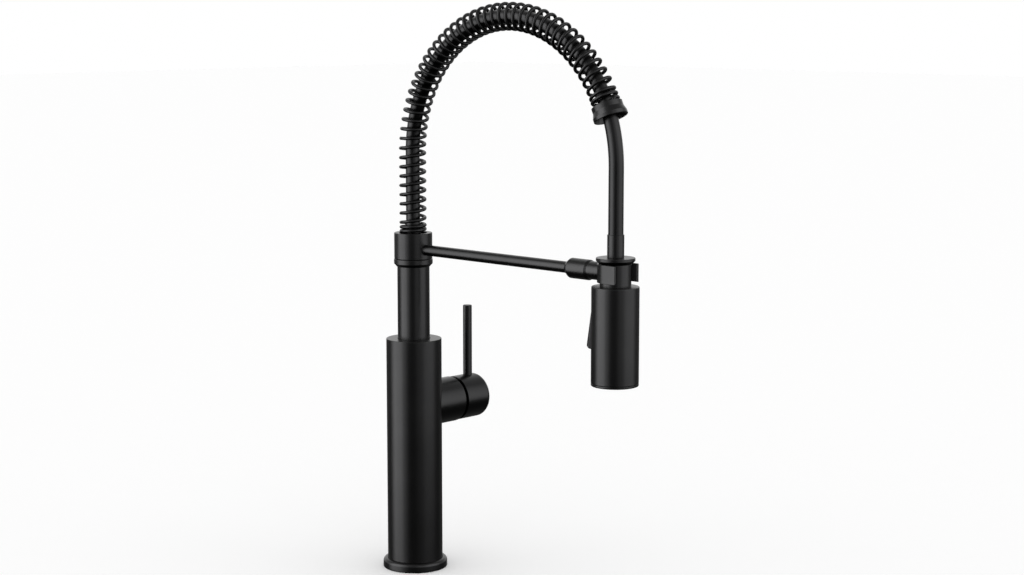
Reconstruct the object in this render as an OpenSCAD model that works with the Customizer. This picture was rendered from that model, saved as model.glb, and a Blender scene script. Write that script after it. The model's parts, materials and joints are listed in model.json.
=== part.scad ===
// Pre-rinse kitchen faucet with a coil-spring arch, a docking arm and a single-lever mixer.
// Z is up and the origin is the centre of the base's underside, on the deck.
// The spout reaches along +X, and the mixer with its lever stands out along +Y.

/* [Deck fixing] */
// Thickness of the deck that the faucet is clamped to
deck_t = 20; // [6:1:30]
// Outer radius of the threaded shank
shank_r = 16; // [14:0.25:16.5]
// Wall of the threaded shank
shank_wall = 3; // [2:0.25:3.5]
// Length of the shank below the deck's top
shank_len = 56; // [54:1:90]
// Thickness of the rubber washer under the deck
rubber_t = 3; // [2:0.5:5]
// Thickness of the steel washer
steel_t = 2; // [1:0.5:3]
// Radius of both washers
washer_r = 25; // [24.5:0.5:28]
// Height of the mounting nut
nut_h = 12; // [9:1:14]
// Radius of the mounting nut
nut_r = 24; // [23.5:0.25:24.5]
// Radius of the jack screws in the mounting nut
jack_r = 2.5; // [2:0.25:3]
// How far the jack screws stand below the nut
jack_out = 5; // [3:0.5:8]

/* [Base ring] */
// Outer radius of the base ring
base_r = 29.2; // [28:0.1:34]
// Height of the base ring
base_h = 8.4; // [7:0.1:12]
// Rounding of the base ring's upper edge
base_round = 3.2; // [1:0.1:3.5]
// Thickness of the ledge that the body stands on
ledge_t = 3; // [2.5:0.1:4]
// Thickness of the rubber gasket in the underside
gasket_t = 1.6; // [1:0.1:2]
// Width of the rubber gasket
gasket_w = 3; // [2:0.1:3.5]

/* [Body] */
// Outer radius of the body shell
body_r = 25; // [24.6:0.1:26]
// Height of the body shell
body_h = 208.4; // [200:0.1:240]
// Wall of the body shell
body_wall = 2.2; // [1.5:0.1:2.6]
// Thickness of the body shell's top
body_lid = 4; // [3:0.1:5]
// Bevel round the body shell's top edge
body_bevel = 0.5; // [0.2:0.1:1]

/* [Riser] */
// Outer radius of the riser tube
riser_r = 14.5; // [14:0.1:14.8]
// Wall of the riser tube
riser_wall = 1.8; // [1.6:0.1:2.2]
// Length of the riser that shows between the body and the flange ring
riser_h = 67.6; // [50:0.1:100]
// Length of the riser inside the body
riser_in = 37.4; // [36:0.1:38.5]
// Thickness of each swivel bush
bush_t = 6; // [5:0.1:6.5]
// Thickness of the gland ring that closes the swivel
gland_t = 6; // [5:0.1:6.5]

/* [Collar] */
// Outer radius of the collar that carries the arm
collar_r = 17.1; // [16.8:0.1:19]
// Height of the collar
collar_h = 23.3; // [23.2:0.1:28]
// Outer radius of the flange ring under the collar
flange_r = 17.4; // [16.8:0.1:20]
// Height of the flange ring's straight edge
flange_h = 4.8; // [3.5:0.1:8]
// Gap between the flange ring and the collar
collar_gap = 0.4; // [0.2:0.1:1]
// Height of the arm's centre above the collar's foot
arm_up = 8.5; // [8.4:0.1:9]

/* [Arm] */
// Distance from the body's axis to the spray head's axis
reach = 241.3; // [220:0.1:300]
// Radius of the arm rod
arm_r = 4.85; // [4:0.05:5]
// Radius of the arm nut's thick part
arm_nut_r = 8.55; // [8:0.05:10]
// Radius of the arm nut's thin part
arm_nut_thin_r = 7.55; // [7:0.05:7.8]
// Length of the arm nut's thick part
arm_nut_len = 19.6; // [14:0.1:24]
// Length of the cone at the arm nut's start
arm_nut_cone = 4.5; // [2:0.1:8]
// Length of the arm nut's thin part, up to the clip
arm_nut_thin = 13; // [11:0.1:18]
// Length of the bevel between the arm nut's two parts
arm_nut_step = 2.2; // [1:0.1:3]

/* [Dock clip] */
// Wall of the clip round the head's shoulder sleeve
clip_wall = 1.3; // [1:0.1:3]
// Height of the clip
clip_h = 15.2; // [12:0.1:16]
// How far the clip's tips reach past the head's axis
clip_tip = 12; // [6:0.1:13]
// Thickness of the plastic liner in the clip
liner_t = 0.6; // [0.5:0.1:1.5]
// How far the liner stops short of the clip's upper and lower faces
liner_inset = 0.6; // [0.3:0.1:1.5]

/* [Spring] */
// Radius of the spring from its centreline to the middle of the wire
coil_r = 10.75; // [10.2:0.05:10.9]
// Thickness of the spring's wire
wire_d = 3; // [2.2:0.1:3]
// Number of open turns
open_turns = 46; // [30:1:50]
// Number of close turns at each end
close_turns = 2; // [1:1:3]
// Gap between the close turns on the straight
close_gap = 0.5; // [0.5:0.05:0.8]
// Length of straight riser spring above the collar
spring_up = 72.1; // [40:0.1:110]
// Angle of the arch at which the spring's end cap starts
cap_angle = 155.5; // [140:0.5:160]
// Length of the spring's end cap
cap_len = 12.1; // [11.5:0.1:14]
// Radius of the end cap's upper rim
cap_rim_r = 13.1; // [13.1:0.1:14]
// Radius of the end cap's lower lip
cap_lip_r = 14.5; // [14:0.1:17]

/* [Hose] */
// Outer radius of the hose
hose_r = 6.3; // [5.8:0.05:6.4]
// Radius of the hose's bore
hose_bore_r = 4.25; // [3.6:0.05:4.4]
// Outer radius of the sleeve that crimps the hose over the head
sleeve_r = 7; // [6.9:0.05:7.4]
// Length of that sleeve
sleeve_len = 18.9; // [14:0.1:26]

/* [Spray head] */
// Outer radius of the head shell
head_r = 19.8; // [19.2:0.1:22]
// Length of the head shell with its trim ring
head_len = 82.5; // [78:0.1:100]
// Wall of the head shell
head_wall = 2; // [1.5:0.1:2.2]
// Radius of the neck inside the shoulder sleeve
head_neck_r = 9.1; // [8.8:0.05:9.4]
// Radius of the shoulder sleeve that sits in the clip
shoulder_r = 13; // [12:0.1:13.5]
// Gap between the clip's underside and the head shell
clip_gap = 3.3; // [2.5:0.1:5]
// Radius of the flange that hangs the head on the clip
dock_r = 16.2; // [15:0.1:18]
// Thickness of that flange with its cone
dock_h = 4.9; // [4:0.1:6]
// Angle that the head is turned on its swivel
head_turn = 22.5; // [0:7.5:45]
// Height of the head's bottom trim ring
trim_h = 2.1; // [1.5:0.1:3]

/* [Rocker] */
// Height of the rocker
rocker_h = 32; // [26:0.5:33]
// Width of the rocker
rocker_w = 15; // [12:0.5:17]
// How far the rocker's lower lip stands out of the shell
rocker_lip = 4.2; // [2:0.1:5]
// Height of the rocker's pin above the head's lower end
rocker_up = 46; // [42:0.5:50]
// Angle that the rocker tips through
rocker_tilt = 14; // [8:1:14]

/* [Mixer] */
// Height of the mixer's axis above the deck
hub_z = 149.1; // [120:0.1:156]
// Outer radius of the fixed hub
hub_r = 20.7; // [20.6:0.1:21.5]
// Distance from the body's axis to the hub's open end
hub_end = 46.4; // [46:0.1:47]
// Gap between the hub and the handle cap
seam = 3.6; // [3:0.1:4]
// Outer radius of the handle cap
handle_r = 20.2; // [19.6:0.1:20.2]
// Length of the handle cap
handle_len = 29.7; // [28:0.1:33]
// Rounding of the handle cap's end
handle_round = 5; // [2:0.1:6]
// Radius of the lever rod
lever_r = 4.1; // [3.5:0.05:4.5]
// Height of the lever's tip above the mixer's axis
lever_h = 85.3; // [60:0.1:110]
// Distance from the seam to the lever's axis
lever_out = 18.1; // [17:0.1:19]

/* [Hidden] */

$fn = 96;

// Colours
finish = [0.10, 0.10, 0.105];
brass = [0.72, 0.58, 0.30];
steel = [0.62, 0.63, 0.65];
rubber = [0.05, 0.05, 0.055];
nylon = [0.85, 0.85, 0.82];
plastic = [0.13, 0.13, 0.13];
ceramic = [0.92, 0.91, 0.88];

// Clearances
fit = 0.1;          // between pieces that are assembled and stay put
run = 0.06;         // radial, between a shaft and its bush
air = 0.3;          // between pieces that move past each other
past = 1;           // how far a cutter reaches beyond what it cuts
seat_air = 0.25;    // radial, round the spring where it stands in its seats

// Deck fixing
gasket_r = base_r - 0.9;
thread_r = shank_r - 0.25;
steel_z = -deck_t - rubber_t - steel_t;
nut_gap = 1;
nut_z = steel_z - nut_gap - nut_h;
jack_at = (shank_r + nut_r) / 2 + 0.25;

// Heights up the column
body_z = ledge_t;
body_top = body_z + body_h;
valve_top = body_top - body_lid - air;
gland_z = valve_top - gland_t;
upper_bush_z = gland_z - bush_t;
circlip_t = 2;
circlip_z = upper_bush_z - fit - circlip_t;
lower_bush_z = circlip_z - fit - bush_t;
riser_foot = body_top - riser_in;
flange_z = body_top + riser_h;
collar_z = flange_z + flange_h + collar_gap;
collar_top = collar_z + collar_h;
arm_z = collar_z + arm_up;
riser_top = arm_z - arm_r - 1;

// Body and valve
valve_r = body_r - body_wall - air;
waist_r = valve_r - 4;
bush_r = riser_r + 2.4;
seal_bore_r = riser_r + 1;
chamber_r = 12;
seal_cord_r = 0.93;
seal_zs = [riser_foot + 3.5, riser_foot + 8];
port_r = 3;
port_x = 5.2;
inlet_r = 4.4;
inlet_depth = 10;
shank_in = 15;
shank_bore_r = shank_r - shank_wall;

// Mixer, measured along Y from the body's axis
boss_r = 16.3;
boss_end = hub_end - 9.9;
pocket_y = boss_end - 14;
seal_t = 0.8;
housing_y = pocket_y + seal_t;
housing_r = 12.5;
base_plate_t = 2;
disc_y = housing_y + base_plate_t;
disc_t = 2.7;
moving_y = disc_y + disc_t + 0.05;
moving_t = 2.95;
carrier_y = moving_y + moving_t + air;
carrier_flange_t = 2.6;
carrier_r = 7.5;
cavity_r = 10.5;
cavity_end = carrier_y + carrier_flange_t + 0.2;
shoulder_y = cavity_end + 1.6;
housing_neck_r = 9.8;
housing_end = hub_end - 2.9;
nut_thread_r = 14.4;
nut_thread_y = shoulder_y - 7.3;
ledge_y = boss_end + 0.05;
hub_ledge_t = 1.2;
bonnet_y = ledge_y + hub_ledge_t + 0.05;
bonnet_end = bonnet_y + 2.7;
mouth_y = hub_end - 5.5;
mouth_r = hub_r - 0.65;
flow_tilt = 20;
cap_y = hub_end + seam;
// Gap left between the hub's lip and the side of the cap when the lever is up
lip_gap = 0.45;
tilt_y = hub_end + (handle_r / cos(flow_tilt) - mouth_r + lip_gap) / tan(flow_tilt);
carrier_end = tilt_y + 4;
ball_y = moving_y + moving_t - 1;
disc_travel = (tilt_y - ball_y) * sin(flow_tilt);
ball_r = 1.5;
moving_r = cavity_r - 0.3 - disc_travel / 2;
stem_pin_r = 1.2;
cavity_depth = 10.6;
handle_wall = 2.4;
lever_y = cap_y + lever_out;
stem_r = 3;
stem_end = lever_y + 4;
lever_foot = 10;
handle_screw_y = lever_y + 1;
lever_bevel = 0.4;

// Collar and arm
nut_over = 4;       // how far the arm's nut runs on, to be cut by the clip's back
collar_wall_z = arm_z + 2.3;
collar_well_r = 9;
seat_z = collar_top - 6;
seat_t = 1.5;
seat_r = coil_r + wire_d / 2 + seat_air;
nipple_r = 5.9;
nipple_bore_r = 2.8;
nipple_hex_r = 7.6;
barb_r = hose_bore_r - 0.05;
barbs = 4;
barb_h = 3.4;
hose_foot = seat_z + 3;
screw_z = (collar_z + riser_top) / 2;
socket_x = 10.6;

// Arm and clip
liner_in_r = shoulder_r + air;
liner_out_r = liner_in_r + liner_t;
clip_r = liner_out_r + clip_wall;
clip_back = reach - clip_r;
arm_nut_x = clip_back - arm_nut_thin - arm_nut_len - arm_nut_cone;
arm_end = arm_nut_x + 14;
arm_screw_x = arm_nut_x + arm_nut_cone + 4;
tenon_r = 5;
tenon_x = clip_back - 11;
clip_low = arm_z - clip_h / 2;
clip_top = arm_z + clip_h / 2;

// Arch
arch_r = reach / 2;
arch_z = collar_top + spring_up;
hose_split = cap_angle + 5;

// Spring, measured along the arch's centreline
spring_start = seat_z + seat_t - collar_top;
close_pitch = wire_d + close_gap;
far_pitch = close_pitch + 0.35;
bend_r = 0.85 * wire_d;
cap_floor = 3.4;
guide_r = hose_r + 2;
spring_path = spring_up + arch_r * cap_angle * PI / 180 + cap_floor;
coil_start = spring_start + wire_d + bend_r;
coil_end = spring_path - wire_d - bend_r;
open_pitch = (coil_end - coil_start - close_turns * (close_pitch + far_pitch)) / open_turns;
turns = open_turns + 2 * close_turns;
curl_steps = 8;
wire_sides = 6;
bend_steps = 3;

// Spray head
head_x = reach;
head_top = clip_low - clip_gap;
head_z = head_top - head_len;
dock_z = clip_top + air;
shoulder_top = dock_z - 0.2;
dock_cone = 2;
dock_top = dock_z + dock_h;
head_lid = 3;
lid_under = head_top - head_lid;
stem_tail_r = 6;
swivel_bore_r = stem_tail_r + run;
ledge_z = dock_z - 11.6;
stem_foot = ledge_z - 3.6;
swivel_seal_z = dock_z - 5;
swivel_groove_r = stem_tail_r - 1.3;
swivel_cord_r = (swivel_bore_r - swivel_groove_r) / 2 - 0.03;
neck_depth = 9;
neck_foot = lid_under - neck_depth;
shell_z = head_z + trim_h + 0.3;
core_r = head_r - head_wall - air;
plate_z = head_z + 1;
plate_t = 5;
core_z = plate_z + plate_t + 0.2;
core_top = neck_foot - 2;
spool_r = 4.4;
spool_bore_r = spool_r + run;
groove_r = 2.5;
groove_gap = 0.9;
spool_z = core_z + 3;
pin_r = 1;
pin_out = rocker_w / 2 + 2;
pin_x = pin_r - sqrt(core_r * core_r - pin_out * pin_out);
pin_z = head_z + rocker_up;
rocker_z0 = pin_z - rocker_h / 2;
rocker_lean = atan(rocker_lip / rocker_h);
rocker_in = 2;
rocker_sweep = rocker_in + rocker_h / 2 * sin(rocker_tilt);
// The rocker's ends are round about its pin, so that they clear the window as it tips
rocker_end_r = norm([head_r - head_wall + pin_x, rocker_h / 2]);
finger_tip = -groove_r - 0.5;
finger_t = 2;
spool_travel = ((spool_r + groove_r) / -2 - pin_x) * sin(rocker_tilt);
nozzle_ring_r = 13;
nozzle_count = 24;
nozzle_r = 1.2;
aerator_r = 7.5;

// A solid of revolution about Z, from points (radius, height)
module turned(points) {
    rotate_extrude() polygon(points);
}

// A round rod along Z with a bevel at each end
module rod(r, h, low = 0, high = 0) {
    turned([[0, 0], [r - low, 0], [r, low], [r, h - high], [r - high, h], [0, h]]);
}

// A tube along Z
module tube(r, bore, h) {
    difference() {
        cylinder(r = r, h = h);
        translate([0, 0, -past]) cylinder(r = bore, h = h + 2 * past);
    }
}

// Half section of a ring whose two outer corners are rounded
module round_section(r_in, r_out, z0, z1, low, high) {
    translate([r_in, z0]) square([r_out - low - r_in, z1 - high - z0]);
    translate([r_in, z0 + low]) square([r_out - high - r_in, z1 - z0 - low]);
    translate([r_in, z0 + low]) square([r_out - r_in, z1 - z0 - low - high]);
    translate([r_out - low, z0 + low]) circle(low);
    translate([r_out - high, z1 - high]) circle(high);
}

// Children drawn along Z are laid along +Y on the mixer's axis, from the distance y
module on_mixer(y = 0) {
    translate([0, y, hub_z]) rotate([-90, 0, 0]) children();
}

// Children drawn along Z are laid along +X on the arm's axis, from the distance x
module on_arm(x = 0) {
    translate([x, 0, arm_z]) rotate([0, 90, 0]) children();
}

// Children are moved to the spray head's axis
module on_head(z = 0) {
    translate([head_x, 0, z]) children();
}

// Children with a front are drawn facing -X and turned with the spray head
module facing_head() {
    on_head() rotate([0, 0, head_turn]) children();
}

// Point of the arch's centreline at the length s above the collar, and the directions there
function arch_angle(s) = s < spring_up ? 0 : (s - spring_up) / arch_r * 180 / PI;
function arch_point(s) = s < spring_up
    ? [0, 0, collar_top + s]
    : [arch_r * (1 - cos(arch_angle(s))), 0, arch_z + arch_r * sin(arch_angle(s))];
function arch_along(s) = [sin(arch_angle(s)), 0, cos(arch_angle(s))];
function arch_out(s) = [-cos(arch_angle(s)), 0, sin(arch_angle(s))];

// Children drawn along Z are laid along the arch, from the angle a of its round part
module on_arch(a) {
    translate([arch_r * (1 - cos(a)), 0, arch_z + arch_r * sin(a)]) rotate([0, a, 0]) children();
}

// A tube from the height z
module tube_at(z, r, bore, h) {
    translate([0, 0, z]) tube(r, bore, h);
}

// A disc or rod from the height z
module rod_at(z, r, h, low = 0, high = 0) {
    translate([0, 0, z]) rod(r, h, low, high);
}

// ---- Deck fixing ----

module base_ring() {
    color(finish) rotate_extrude() difference() {
        round_section(shank_r + air, base_r, 0, base_h, 0.8, base_round);
        translate([0, ledge_t]) square([body_r + fit, base_h]);
        translate([gasket_r - gasket_w, -past]) square([gasket_w, gasket_t + past]);
    }
}

module base_gasket() {
    color(rubber) tube_at(0, gasket_r, gasket_r - gasket_w, gasket_t);
}

// Plain where it passes the deck, and threaded below it and in the valve body
module mounting_shank() {
    top = body_z + shank_in;
    color(brass) turned([
        [shank_bore_r, -shank_len], [thread_r - 0.8, -shank_len], [thread_r, 0.8 - shank_len],
        [thread_r, -deck_t], [shank_r, -deck_t], [shank_r, 0], [thread_r, 0], [thread_r, top],
        [shank_bore_r, top]
    ]);
}

module rubber_washer() {
    color(rubber) tube_at(-deck_t - rubber_t, washer_r, thread_r + fit, rubber_t);
}

module steel_washer() {
    color(steel) tube_at(steel_z, washer_r, thread_r + fit, steel_t);
}

module mounting_nut() {
    color(brass) difference() {
        rod_at(nut_z, nut_r, nut_h, 0.6, 0.6);
        translate([0, 0, nut_z - past]) cylinder(r = thread_r + fit, h = nut_h + 2 * past);
        for (side = [-1, 1])
            translate([side * jack_at, 0, nut_z - past]) cylinder(r = jack_r + fit / 2, h = nut_h + 2 * past);
        for (turn = [45:90:315])
            rotate([0, 0, turn]) translate([nut_r - 3, -2.5, nut_z - past]) cube([4, 5, nut_h + 2 * past]);
    }
}

module jack_screws() {
    color(steel) for (side = [-1, 1])
        translate([side * jack_at, 0, nut_z - jack_out]) rod(jack_r, jack_out + nut_h + nut_gap, 0.4, 0.6);
}

// ---- Body ----

module body_shell() {
    color(finish) difference() {
        turned([
            [body_r - body_wall, body_z], [body_r, body_z], [body_r, body_top - body_bevel],
            [body_r - body_bevel, body_top], [riser_r + air, body_top],
            [riser_r + air, body_top - body_lid], [body_r - body_wall, body_top - body_lid]
        ]);
        on_mixer() cylinder(r = boss_r + fit, h = body_r + past);
    }
}

// Brass body with the two inlets, the cartridge's pocket and the swivel's bearing
module valve_body() {
    color(brass) difference() {
        union() {
            rod_at(body_z, valve_r, 2 * shank_in, 0, 0);
            rod_at(body_z, waist_r, valve_top - body_z, 0, 0);
            rod_at(riser_foot - 4, valve_r, valve_top - riser_foot + 4, 0, 0);
            on_mixer() cylinder(r = boss_r, h = boss_end);
        }
        translate([0, 0, body_z - past]) cylinder(r = thread_r + fit, h = shank_in + past);
        translate([0, 0, lower_bush_z]) cylinder(r = bush_r + fit, h = valve_top - lower_bush_z + past);
        translate([0, 0, riser_foot - 1]) cylinder(r = seal_bore_r, h = lower_bush_z - riser_foot + 2);
        translate([0, 0, hub_z + boss_r]) cylinder(r = chamber_r, h = riser_foot - hub_z - boss_r);
        for (side = [-1, 1]) {
            translate([side * port_x, 0, body_z + shank_in - past]) cylinder(r = inlet_r, h = inlet_depth + past);
            translate([side * port_x, 0, body_z + shank_in]) cylinder(r = port_r, h = hub_z - body_z - shank_in);
            translate([side * port_x, 0, hub_z]) rotate([-90, 0, 0]) cylinder(r = port_r, h = pocket_y + past);
        }
        on_mixer() translate([0, -port_x - 0.5, -port_r]) cylinder(r = port_r, h = pocket_y + port_r + past);
        translate([0, 0, hub_z + port_x]) cylinder(r = port_r, h = boss_r);
        on_mixer(pocket_y) cylinder(r = housing_r + fit, h = boss_end);
        on_mixer(nut_thread_y - 1) cylinder(r = nut_thread_r + fit, h = boss_end);
    }
}

module lower_bush() {
    color(nylon) tube_at(lower_bush_z, bush_r, riser_r + run, bush_t);
}

module upper_bush() {
    color(nylon) tube_at(upper_bush_z, bush_r, riser_r + run, bush_t);
}

module gland_ring() {
    color(brass) tube_at(gland_z, bush_r, riser_r + air, gland_t);
}

// Split ring in the riser's groove, trapped between the two bushes
module retaining_ring() {
    color(steel) difference() {
        tube_at(circlip_z, bush_r - air, riser_r - 0.8, circlip_t);
        translate([-bush_r - past, -2, circlip_z - past]) cube([bush_r, 4, circlip_t + 2 * past]);
    }
}

module riser_seals() {
    color(rubber) for (z = seal_zs)
        translate([0, 0, z]) rotate_extrude() translate([riser_r + 0.03, 0]) circle(seal_cord_r);
}

module hub_sleeve() {
    color(finish) difference() {
        on_mixer() cylinder(r = hub_r, h = mouth_y);
        cylinder(r = body_r + fit / 2, h = body_top);
        on_mixer() cylinder(r = boss_r + fit, h = ledge_y);
        on_mixer() cylinder(r = nut_thread_r + 2 * fit, h = hub_end);
        on_mixer(bonnet_y - 0.05) cylinder(r = boss_r + fit, h = hub_end);
    }
}

// Thin ring on the hub's end that hides the cap's edge when the lever is up
module hub_lip() {
    color(finish) on_mixer() tube_at(mouth_y, hub_r, mouth_r, hub_end - mouth_y);
}

// ---- Mixer ----

module bonnet_nut() {
    color(brass) on_mixer() turned([
        [housing_r + 1.5 * fit, nut_thread_y], [nut_thread_r, nut_thread_y], [nut_thread_r, bonnet_y],
        [boss_r - 2 * fit, bonnet_y], [boss_r - 2 * fit, bonnet_end], [housing_neck_r + fit, bonnet_end],
        [housing_neck_r + fit, shoulder_y + 0.05], [housing_r + 1.5 * fit, shoulder_y + 0.05]
    ]);
}

module cartridge_seal() {
    color(rubber) on_mixer(pocket_y) difference() {
        cylinder(r = cavity_r, h = seal_t);
        ports(seal_t);
    }
}

// The two inlets and the outlet, cut through a plate of the thickness h
module ports(h) {
    for (side = [-1, 1])
        translate([side * port_x, 0, -past]) cylinder(r = port_r - 0.5, h = h + 2 * past);
    translate([0, -port_x - 0.5, -past]) cylinder(r = port_r - 0.5, h = h + 2 * past);
}

module cartridge_housing() {
    color(nylon) difference() {
        union() {
            on_mixer(housing_y) cylinder(r = housing_r, h = shoulder_y - housing_y);
            on_mixer(housing_y) cylinder(r = housing_neck_r, h = housing_end - housing_y);
        }
        on_mixer(housing_y) ports(base_plate_t);
        on_mixer(disc_y) cylinder(r = cavity_r, h = cavity_end - disc_y);
        on_mixer(disc_y) cylinder(r = carrier_r + fit, h = housing_end);
    }
}

module fixed_disc() {
    color(ceramic) on_mixer(disc_y) difference() {
        cylinder(r = cavity_r - air, h = disc_t);
        ports(disc_t);
    }
}

// Sliding disc, with a recess under it that joins the ports and a pocket for the stem's ball
module moving_disc() {
    color(ceramic) difference() {
        on_mixer(moving_y) translate([0, disc_travel / 2, 0]) cylinder(r = moving_r, h = moving_t);
        on_mixer(moving_y - past) translate([0, disc_travel / 2 + 1.5, 0]) cylinder(r = 3.5, h = past + 0.9);
        on_mixer(ball_y - ball_r - 0.2) cylinder(r = ball_r + fit, h = 2 * moving_t);
    }
}

// Turning sleeve of the cartridge: it carries the stem on a cross pin
module cartridge_carrier() {
    color(nylon) difference() {
        union() {
            on_mixer(carrier_y) cylinder(r = cavity_r - air, h = carrier_flange_t);
            on_mixer(carrier_y) cylinder(r = carrier_r, h = carrier_end - carrier_y);
        }
        translate([-ball_r - 0.6, carrier_y - past, hub_z - ball_r - 0.6])
            cube([2 * ball_r + 1.2, tilt_y - 5 - carrier_y + past, disc_travel + 2 * ball_r + 1.2]);
        translate([-stem_r - 0.2, tilt_y - 5, hub_z - stem_r - 2])
            cube([2 * stem_r + 0.4, carrier_end - tilt_y + 5 + past, 2 * stem_r + 4]);
        translate([-carrier_r - past, tilt_y, hub_z]) rotate([0, 90, 0]) cylinder(r = stem_pin_r, h = 2 * carrier_r + 2 * past);
    }
}

module stem_pin() {
    color(steel) translate([-carrier_r, tilt_y, hub_z]) rotate([0, 90, 0]) cylinder(r = stem_pin_r, h = 2 * carrier_r);
}

module cartridge_stem() {
    color(steel) difference() {
        union() {
            on_mixer(ball_y) sphere(ball_r);
            on_mixer(ball_y) cylinder(r = ball_r - 0.4, h = tilt_y - ball_y);
            on_mixer(tilt_y) sphere(stem_r);
            on_mixer(tilt_y) cylinder(r = stem_r, h = stem_end - tilt_y);
        }
        translate([-carrier_r, tilt_y, hub_z]) rotate([0, 90, 0]) cylinder(r = stem_pin_r + run, h = 2 * carrier_r);
    }
}

module handle_cap() {
    color(finish) difference() {
        on_mixer() rotate_extrude() difference() {
            round_section(0, handle_r, cap_y, cap_y + handle_len, 0.3, handle_round);
            translate([-past, cap_y - past]) square([handle_r - handle_wall + past, cavity_depth + past]);
        }
        on_mixer(cap_y) cylinder(r = stem_r + fit, h = stem_end - cap_y + fit);
        translate([0, lever_y, hub_z + lever_foot - fit]) cylinder(r = lever_r + fit / 2, h = handle_r);
        translate([0, handle_screw_y, hub_z - handle_r - past]) cylinder(r = 2 + fit / 2, h = handle_r + past);
    }
}

module lever_rod() {
    color(finish) translate([0, lever_y, hub_z + lever_foot])
        rod(lever_r, lever_h - lever_foot, 0, lever_bevel);
}

module handle_screw() {
    color(steel) translate([0, handle_screw_y, hub_z - handle_r + 2]) rod(2, handle_r - 2 - stem_r - fit, 0, 0.3);
}

// ---- Riser and collar ----

module riser_tube() {
    color(finish) difference() {
        tube_at(riser_foot, riser_r, riser_r - riser_wall, riser_top - riser_foot);
        for (z = seal_zs)
            tube_at(z - seal_cord_r - 0.1, riser_r + past, riser_r - 0.93, 2 * seal_cord_r + 0.2);
        tube_at(circlip_z - 0.05, riser_r + past, riser_r - 0.85, circlip_t + 0.1);
    }
}

module flange_ring() {
    color(finish) turned([
        [riser_r + fit, flange_z - 2], [riser_r + fit + 0.3, flange_z - 2], [flange_r, flange_z + 0.6],
        [flange_r, flange_z + flange_h - 0.3], [flange_r - 0.3, flange_z + flange_h],
        [riser_r + fit, flange_z + flange_h]
    ]);
}

module collar() {
    color(finish) difference() {
        rod_at(collar_z, collar_r, collar_h, 0.3, 0.4);
        translate([0, 0, collar_z - past]) cylinder(r = riser_r + fit, h = riser_top - collar_z + past);
        translate([0, 0, collar_z]) cylinder(r = collar_well_r, h = collar_wall_z - collar_z);
        translate([0, 0, collar_z]) cylinder(r = nipple_r + fit / 2, h = collar_h);
        translate([0, 0, seat_z]) cylinder(r = seat_r + fit, h = collar_h);
        on_arm(socket_x) cylinder(r = arm_r + fit / 2, h = collar_r);
        translate([0, 0, screw_z]) rotate([0, -90, 0]) cylinder(r = 1.05, h = collar_r + past);
    }
}

module collar_screw() {
    color(steel) translate([-riser_r - fit / 2, 0, screw_z]) rotate([0, -90, 0]) rod(1, collar_r - riser_r - 0.3);
}

module hose_nipple() {
    color(brass) difference() {
        union() {
            rod_at(collar_wall_z, nipple_r, seat_z - collar_wall_z);
            translate([0, 0, seat_z]) cylinder(r = nipple_hex_r, h = hose_foot - seat_z, $fn = 6);
            for (step = [0:barbs - 1])
                translate([0, 0, hose_foot + step * barb_h]) cylinder(r1 = barb_r, r2 = barb_r - 0.5, h = barb_h);
        }
        translate([0, 0, collar_wall_z - past]) cylinder(r = nipple_bore_r, h = collar_h + 10);
    }
}

module spring_seat() {
    color(plastic) tube_at(seat_z, seat_r, nipple_hex_r + 0.4, seat_t);
}

module hose_crimp() {
    color(finish) tube_at(hose_foot + 0.1, hose_r + 0.9, hose_r + 0.05, 12);
}

// ---- Arm and clip ----

module arm_rod() {
    color(finish) on_arm(socket_x + 0.2) rod(arm_r, arm_end - socket_x - 0.2, 0.5, 0.5);
}

module arm_nut() {
    thick_end = arm_nut_cone + arm_nut_len;
    nut_end = thick_end + arm_nut_thin + nut_over;
    color(finish) difference() {
        on_arm(arm_nut_x) turned([
            [0, 0], [arm_r + 0.7, 0], [arm_nut_r, arm_nut_cone], [arm_nut_r, thick_end],
            [arm_nut_thin_r, thick_end + arm_nut_step],
            [arm_nut_thin_r, nut_end], [0, nut_end]
        ]);
        on_head() cylinder(r = clip_r, h = collar_top);
        on_arm(arm_nut_x - past) cylinder(r = arm_r + fit / 2, h = arm_end - arm_nut_x + past + 0.1);
        on_arm(tenon_x - 0.2) cylinder(r = tenon_r + fit / 2, h = reach);
        translate([arm_screw_x, 0, arm_z - arm_nut_r - past]) cylinder(r = 1.55, h = arm_nut_r + past);
    }
}

module arm_screw() {
    color(steel) translate([arm_screw_x, 0, arm_z - arm_nut_r + 0.4]) rod(1.5, arm_nut_r - arm_r - 0.4 - fit / 2);
}

// Outline of the clip at the half width r: a half circle with straight jaws towards +X
module jaw_outline(r, tip) {
    circle(r);
    translate([0, -r]) square([tip, 2 * r]);
}

module dock_clip() {
    color(finish) difference() {
        union() {
            on_head(clip_low) linear_extrude(clip_h) jaw_outline(clip_r, clip_tip);
            on_arm(tenon_x) cylinder(r = tenon_r, h = clip_back - tenon_x + 1.5);
        }
        on_head(clip_low - past) linear_extrude(clip_h + 2 * past) jaw_outline(liner_out_r, clip_r + clip_tip);
    }
}

module clip_liner() {
    color(nylon) difference() {
        on_head(clip_low + liner_inset) linear_extrude(clip_h - 2 * liner_inset)
            jaw_outline(liner_out_r - 0.02, clip_tip - 0.4);
        on_head(clip_low - past) linear_extrude(clip_h + 2 * past) jaw_outline(liner_in_r, clip_r + clip_tip);
    }
}

// ---- Spring and hose ----

// Length along the arch after t turns
function coil_s(t) =
    t < close_turns ? coil_start + t * close_pitch
    : t < close_turns + open_turns ? coil_start + close_turns * close_pitch + (t - close_turns) * open_pitch
    : coil_end - (turns - t) * far_pitch;
// Direction from the centreline to the wire, and the wire's own direction round the coil
function coil_out(s, a) = cos(a) * arch_out(s) - sin(a) * [0, 1, 0];
function coil_round(s, a) = -sin(a) * arch_out(s) - cos(a) * [0, 1, 0];
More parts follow.
